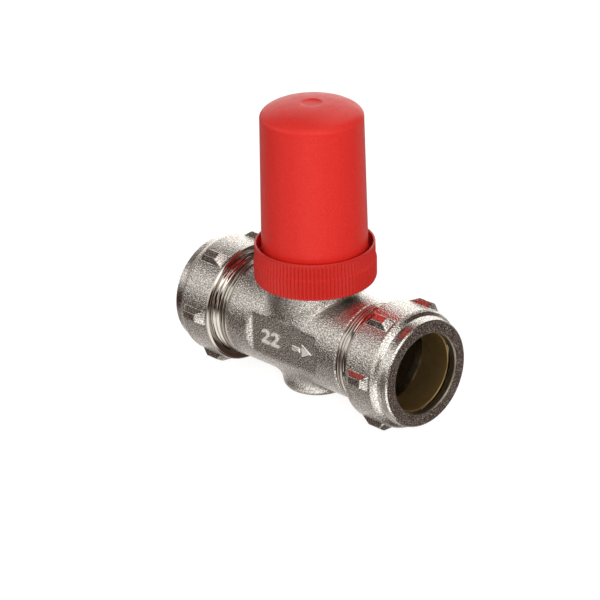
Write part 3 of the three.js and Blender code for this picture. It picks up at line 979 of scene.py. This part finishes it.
def nut_finish(rear):
    """Forged outside and end face, rubbed finer on the lugs and the nose; turned rear; darker bore as
    painted shade.
    """
    def chooser(centres):
        about_pipe = np.hypot(centres[:, 1], centres[:, 2])
        from_rear = np.abs(centres[:, 0]) - rear
        front = from_rear > NUT_LENGTH - 4.0
        # The bore takes the darker nickel: painted shade in the recess.
        bore = front & (about_pipe < PIPE_BORE_R + 0.25)
        thread = ~front & (about_pipe < NUT_THREAD_R + 0.45)
        rear_face = (from_rear < 0.7) & (about_pipe < NUT_R)
        nose = (from_rear > 10.1) & (about_pipe > 14.5)
        lug = about_pipe > NUT_R + 0.25
        return np.select([bore, thread | rear_face, nose | lug], [2, 1, 3], 0)
    return chooser


def make_ends():
    def rear_of(node, facing):
        low, high = extent(node)
        return low[0] if facing == 0 else -high[0]

    for name, facing, turn in (("outlet", 0, OUTLET_NUT_TURN), ("inlet", math.pi, 0)):
        rear = rear_of("nut_" + name, facing)
        nut = placed(make_nut(f"nut_{name}_looks"), rear, turn, facing)
        stand_in(nut, "nut_" + name, "forged", "nickel", "painted_bore_shade", "rubbed", chooser=nut_finish(rear))
        rear = rear_of("olive_" + name, facing)
        olive = placed(make_olive(f"olive_{name}_looks"), rear, 0, facing)
        stand_in(olive, "olive_" + name, "brass_along")


# ------------------------------------------------------------------ bonnet and gland

SPINDLE_PITCH = 1.25
SPINDLE_THREAD_R = 5.4
NUT_OF_SPINDLE_R = 5.7
SPINDLE_BORE_R = 4.9
BONNET_THREAD_R = 9.0
DISC_R = 15.15
DISC_TOP = 18.5
GLAND_THREAD_R = 7.0
GLAND_THREAD_START = 25.5


def make_bonnet():
    low, high = extent("bonnet")
    bottom, top = low[2], high[2]
    thread_low, thread_high = 9.0, 14.2
    inner_low, inner_high = 13.2, 22.0
    disc_low, hex_top = 15.9, 24.5
    skirt_r, relief_r, hex_corner_r, across_flats = 7.4, 8.7, 11.7, 20
    below_disc = [
        (skirt_r, bottom, 0.1), (BONNET_THREAD_R - 0.4, bottom, 0.1), (BONNET_THREAD_R, bottom + 0.4, 0.1),
        (BONNET_THREAD_R, thread_high + 0.1), (relief_r, thread_high + 0.3), (relief_r, disc_low),
    ]
    disc = [
        (DISC_R - 0.3, disc_low, 0.1), (DISC_R, disc_low + 0.3), (DISC_R, DISC_TOP - 0.3),
        (DISC_R - 0.3, DISC_TOP, 0.1),
    ]
    hexagon = [(hex_corner_r, DISC_TOP), (hex_corner_r, hex_top - 0.9, 0.05), (10.3, hex_top)]
    gland_stub = [
        (GLAND_THREAD_R, hex_top, 0.15), (GLAND_THREAD_R, top - 0.4, 0.1), (6.6, top, 0.1),
        (SPINDLE_BORE_R, top, 0.15),
    ]
    inside = [
        (SPINDLE_BORE_R, inner_high), (NUT_OF_SPINDLE_R, inner_high), (NUT_OF_SPINDLE_R, inner_low),
        (skirt_r, inner_low - 0.8),
    ]
    outline = rounded(below_disc + disc + hexagon + gland_stub + inside)
    outline = refined(outline, 0.11, GLAND_THREAD_START, top - 0.5)
    outline = refined(outline, 0.11, thread_low, thread_high)
    outline = refined(outline, 0.12, disc_low + 0.25, DISC_TOP - 0.25)
    outline = refined(outline, 0.11, inner_low + 0.1, inner_high - 0.1)
    outline = refined(outline, 0.3, DISC_TOP, hex_top)
    warp = in_turn(
        flats(6, across_flats, DISC_TOP - 0.01, hex_top + 0.01),
        helical_thread(BONNET_THREAD_R, thread_low, thread_high, 1.0, 0.4, 0.5),
        helical_thread(DISC_R, disc_low + 0.3, DISC_TOP - 0.3, 1.5, 0.5, 0.3),
        helical_thread(GLAND_THREAD_R, GLAND_THREAD_START, top - 0.5, 1.0, 0.4, 0.5),
        helical_thread(NUT_OF_SPINDLE_R, inner_low + 0.2, inner_high - 0.2, SPINDLE_PITCH, 0.35, 0.5,
                       inner=True),
    )
    plated_r = 12.6
    stand_in(revolve("bonnet_looks", outline, 192, warp), "bonnet", "brass", "nickel",
             chooser=lambda centres: np.hypot(centres[:, 0], centres[:, 1]) > plated_r)


def make_gland_nut():
    low, high = extent("gland_nut")
    bottom, top = low[2], high[2]
    recess_r, recess_top, corner_r, across_flats, bore_r = 7.4, 34.5, 9.9, 17, 4.6
    outline = rounded([
        (recess_r, bottom + 0.3), (recess_r + 0.3, bottom), (corner_r - 0.6, bottom, 0.1),
        (corner_r, bottom + 0.6, 0.1), (corner_r, top - 0.9, 0.1), (8.3, top, 0.1),
        (bore_r + 0.3, top, 0.1), (bore_r, top - 0.3, 0.1), (bore_r, recess_top),
        (recess_r, recess_top, 0.15),
    ])
    outline = refined(outline, 0.25, bottom, top)
    hexagon = flats(6, across_flats, bottom - 1, top + 1)
    stand_in(revolve("gland_nut_looks", outline, 192, hexagon), "gland_nut", "brass")


def make_plain_ring(node, inner, material, edge):
    """A washer with softened edges, sized from its CAD node and its hole's radius."""
    low, high = extent(node)
    outline = rounded([(inner, low[2], edge), (high[1], low[2], edge), (high[1], high[2], edge),
                       (inner, high[2], edge)])
    stand_in(revolve(node + "_looks", outline, 128), node, material)


# ------------------------------------------------------------------ spindle and plug

SPINDLE_FOOT_R = 3.2
SPINDLE_STEM_R = 4.2
SPINDLE_THREAD_START = 10.9
SPINDLE_THREAD_END = 17.3
ORING_CENTRE_R = 3.95
ORING_SECTION_R = 0.6
ORING_GROOVE_R = 3.05
ORING_GROOVE_HALF = 0.9
CLIP_GROOVE_R = 2.5
CLIP_GROOVE_HALF = 0.6
SCREW_R = 1.7
SCREW_THREAD_START = 2.4
SCREW_THREAD_END = 6.0


def groove_points(radius, floor, middle, half):
    """A square groove in a wall of the given radius, as points going up the wall."""
    return [(radius, middle - half), (floor, middle - half, 0.15), (floor, middle + half, 0.15),
            (radius, middle + half)]


def make_spindle():
    low, high = extent("spindle")
    clip = sum(extent("spindle_clip"))[2] / 2
    rings = [sum(extent("spindle_oring_" + place))[2] / 2 for place in ("lower", "upper")]
    bottom, top = low[2], high[2]
    square_bottom, square_width = 40, 6
    foot = [(0, bottom), (SPINDLE_FOOT_R - 0.3, bottom), (SPINDLE_FOOT_R, bottom + 0.3)]
    foot += groove_points(SPINDLE_FOOT_R, CLIP_GROOVE_R, clip, CLIP_GROOVE_HALF)
    chamfer = 0.4
    thread = [
        (SPINDLE_FOOT_R, SPINDLE_THREAD_START - chamfer, 0.1),
        (SPINDLE_THREAD_R - chamfer, SPINDLE_THREAD_START - chamfer, 0.1),
        (SPINDLE_THREAD_R, SPINDLE_THREAD_START), (SPINDLE_THREAD_R, SPINDLE_THREAD_END),
        (SPINDLE_THREAD_R - chamfer, SPINDLE_THREAD_END + chamfer, 0.1),
        (SPINDLE_STEM_R, SPINDLE_THREAD_END + chamfer, 0.1),
    ]
    stem = []
    for height in rings:
        stem += groove_points(SPINDLE_STEM_R, ORING_GROOVE_R, height, ORING_GROOVE_HALF)
    stem += [(SPINDLE_STEM_R, square_bottom - 0.3), (SPINDLE_STEM_R, square_bottom + 0.3)]
    tip = [(SPINDLE_STEM_R, top - 1.0, 0.1), (3.0, top, 0.1), (0, top)]
    outline = rounded(foot + thread + stem + tip, closed=False)
    outline = refined(outline, 0.11, SPINDLE_THREAD_START, SPINDLE_THREAD_END, closed=False)
    outline = refined(outline, 0.3, square_bottom + 0.3, top, closed=False)
    thread_ends = (SPINDLE_THREAD_START, SPINDLE_THREAD_END)
    warp = in_turn(
        helical_thread(SPINDLE_THREAD_R, *thread_ends, SPINDLE_PITCH, 0.45, 0.6),
        flats(4, square_width, square_bottom, top + 1, math.radians(45)),
    )
    stand_in(revolve("spindle_looks", outline, 160, warp), "spindle", "brass")


def make_orings():
    for node in ("spindle_oring_lower", "spindle_oring_upper"):
        middle = sum(extent(node))[2] / 2
        outline = [(ORING_CENTRE_R + ORING_SECTION_R * math.cos(t), middle + ORING_SECTION_R * math.sin(t))
                   for t in spaced(20)]
        stand_in(revolve(node + "_looks", outline, 96), node, "rubber")


def make_clip():
    low, high = extent("spindle_clip")
    inner, outer, slot_half = 2.85, 3.95, 0.7
    clip = revolve("spindle_clip_looks", rounded([
        (inner, low[2], 0.1), (outer, low[2], 0.1), (outer, high[2], 0.1), (inner, high[2], 0.1),
    ]), 96)
    combine(clip, box("slot", (-slot_half, 0, low[2] - 1), (slot_half, 6, high[2] + 1)), "DIFFERENCE")
    stand_in(clip, "spindle_clip", "steel")


def make_carrier():
    low, high = extent("plug_carrier")
    bottom, top = low[2], high[2]
    clip = sum(extent("spindle_clip"))[2] / 2
    screw_hole_r, flange_r, flange_top, neck_r, bore_r = 2.0, 7.0, 6.7, 5.3, 3.5
    groove_r, groove_low, groove_high = 4.3, clip - CLIP_GROOVE_HALF, clip + CLIP_GROOVE_HALF
    outline = rounded([
        (0, flange_top), (screw_hole_r, flange_top), (screw_hole_r, bottom + 0.2),
        (screw_hole_r + 0.2, bottom), (flange_r - 0.2, bottom, 0.1), (flange_r, bottom + 0.3),
        (flange_r, flange_top), (flange_r - 0.2, flange_top + 0.3, 0.1), (neck_r, flange_top + 0.4, 0.4),
        (neck_r, top - 0.3, 0.1), (neck_r - 0.3, top, 0.1), (bore_r, top, 0.15), (bore_r, groove_high),
        (groove_r, groove_high), (groove_r, groove_low), (bore_r, groove_low), (bore_r, flange_top + 0.6),
        (0, flange_top + 0.6),
    ], closed=False)
    stand_in(revolve("plug_carrier_looks", outline, 144), "plug_carrier", "brass")


def make_screw():
    low, high = extent("washer_screw")
    bottom, top = low[2], high[2]
    head_r, head_top, slot_half, slot_top = 3.0, 0.9, 0.4, 0.1
    outline = rounded([
        (0, bottom), (head_r - 0.7, bottom, 0.4), (head_r, bottom + 0.5, 0.2), (head_r, head_top, 0.1),
        (SCREW_R, head_top), (SCREW_R, SCREW_THREAD_START), (SCREW_R, SCREW_THREAD_END),
        (SCREW_R - 0.4, top), (0, top),
    ], closed=False)
    outline = refined(outline, 0.08, SCREW_THREAD_START, SCREW_THREAD_END, closed=False)
    thread = helical_thread(SCREW_R, SCREW_THREAD_START, SCREW_THREAD_END, 0.7, 0.25, 0.3)
    screw = revolve("washer_screw_looks", outline, 96, thread)
    combine(screw, box("slot", (-4, -slot_half, -2), (4, slot_half, slot_top)), "DIFFERENCE")
    stand_in(screw, "washer_screw", "steel")


# ------------------------------------------------------------------ cap

CAP_CREASE_R = 13.9
CAP_CREASE_Z = 61.9
CAP_FLANGE_R = 15.1
CAP_FOOT_R = 14.38
DIMPLE_R = 2.7
RIB_COUNT = 92
RIB_DEPTH = 0.38
RIB_ROOT_R = 16.0


def make_cap_barrel():
    low, high = extent("cap_barrel")
    bottom, top = low[2], high[2]
    flange_top = bottom + 1.4
    inner_r, ceiling = 12.3, 60.5
    inside = [
        (0, ceiling), (inner_r - 1, ceiling, 0.9), (inner_r, ceiling - 1, 0.4), (inner_r, bottom, 0.2),
    ]
    flange = [(CAP_FLANGE_R, bottom, 0.2), (CAP_FLANGE_R, flange_top, 0.2)]
    wall = [(CAP_FOOT_R, flange_top, 0.3), (CAP_CREASE_R, CAP_CREASE_Z, 0.35)]
    dome = []
    for k in range(1, 25):
        t = k / 25 * math.pi / 2
        radius = CAP_CREASE_R * math.cos(t)
        if radius > DIMPLE_R + 0.9:
            dome.append((radius, CAP_CREASE_Z + (top - CAP_CREASE_Z) * math.sin(t)))
    dimple = [
        (DIMPLE_R + 0.35, top - 0.12, 0.2), (DIMPLE_R - 0.15, top - 0.35, 0.2),
        (DIMPLE_R - 0.9, top - 0.5, 0.3), (0, top - 0.55),
    ]
    outline = rounded(inside + flange + wall + dome + dimple, closed=False)
    outline = refined(outline, 1.5, flange_top, CAP_CREASE_Z, closed=False)
    stand_in(revolve("cap_barrel_looks", outline, 192), "cap_barrel", "red")


def ribs(low, high):
    """A warp that flutes the knurled ring's outside."""
    def warp(radius, height, angle):
        valley = (0.5 - 0.5 * np.cos(angle * RIB_COUNT)) ** 1.5
        fade = np.clip(np.minimum(height - low - 0.25, high - 0.5 - height) / 0.5, 0, 1)
        outside = radius > RIB_ROOT_R
        return radius - RIB_DEPTH * valley * fade * outside
    return warp


def make_cap_collar():
    low, high = extent("cap_collar")
    bottom, top = low[2], high[2]
    thread_r, mouth_r, ledge_r, ledge_low, ledge_top = 15.5, 15.6, 14.7, 20.65, 22.2
    outside = [
        (16.15, bottom, 0.3), (16.5, bottom + 0.8, 0.5), (16.55, 21.1, 0.8), (16.25, 21.9, 0.8),
        (16.22, top, 0.25),
    ]
    inside = [
        (mouth_r, top, 0.25), (mouth_r, ledge_top, 0.2), (ledge_r, ledge_top, 0.15),
        (ledge_r, ledge_low, 0.15), (thread_r, ledge_low, 0.15), (thread_r, bottom, 0.15),
    ]
    outline = refined(rounded(outside + inside), 0.5, bottom, top)
    ring = revolve("cap_collar_looks", outline, RIB_COUNT * 8, ribs(bottom, top))
    stand_in(ring, "cap_collar", "ring_red_shaded")


# ------------------------------------------------------------------ build

make_camera()
make_lights()
make_world()
make_floor(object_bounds()[0][2] - 0.0002)

stand_in(make_body(), "valve_body", "forged", "nickel", "painted_bore_shade", "painted_marks_highlight", chooser=body_finish)
make_ends()
make_bonnet()
make_gland_nut()
make_plain_ring("bonnet_washer", 9.35, "fibre", 0.1)
make_plain_ring("gland_ring", 4.6, "brass", 0.08)
make_plain_ring("gland_packing", 4.5, "ptfe", 0.15)
make_plain_ring("seat_washer", 2.3, "rubber", 0.25)
make_plain_ring("washer_plate", 2.0, "steel", 0.08)
make_spindle()
make_orings()
make_clip()
make_carrier()
make_screw()
make_cap_barrel()
make_cap_collar()

bpy.context.scene.view_settings.view_transform = "Standard"
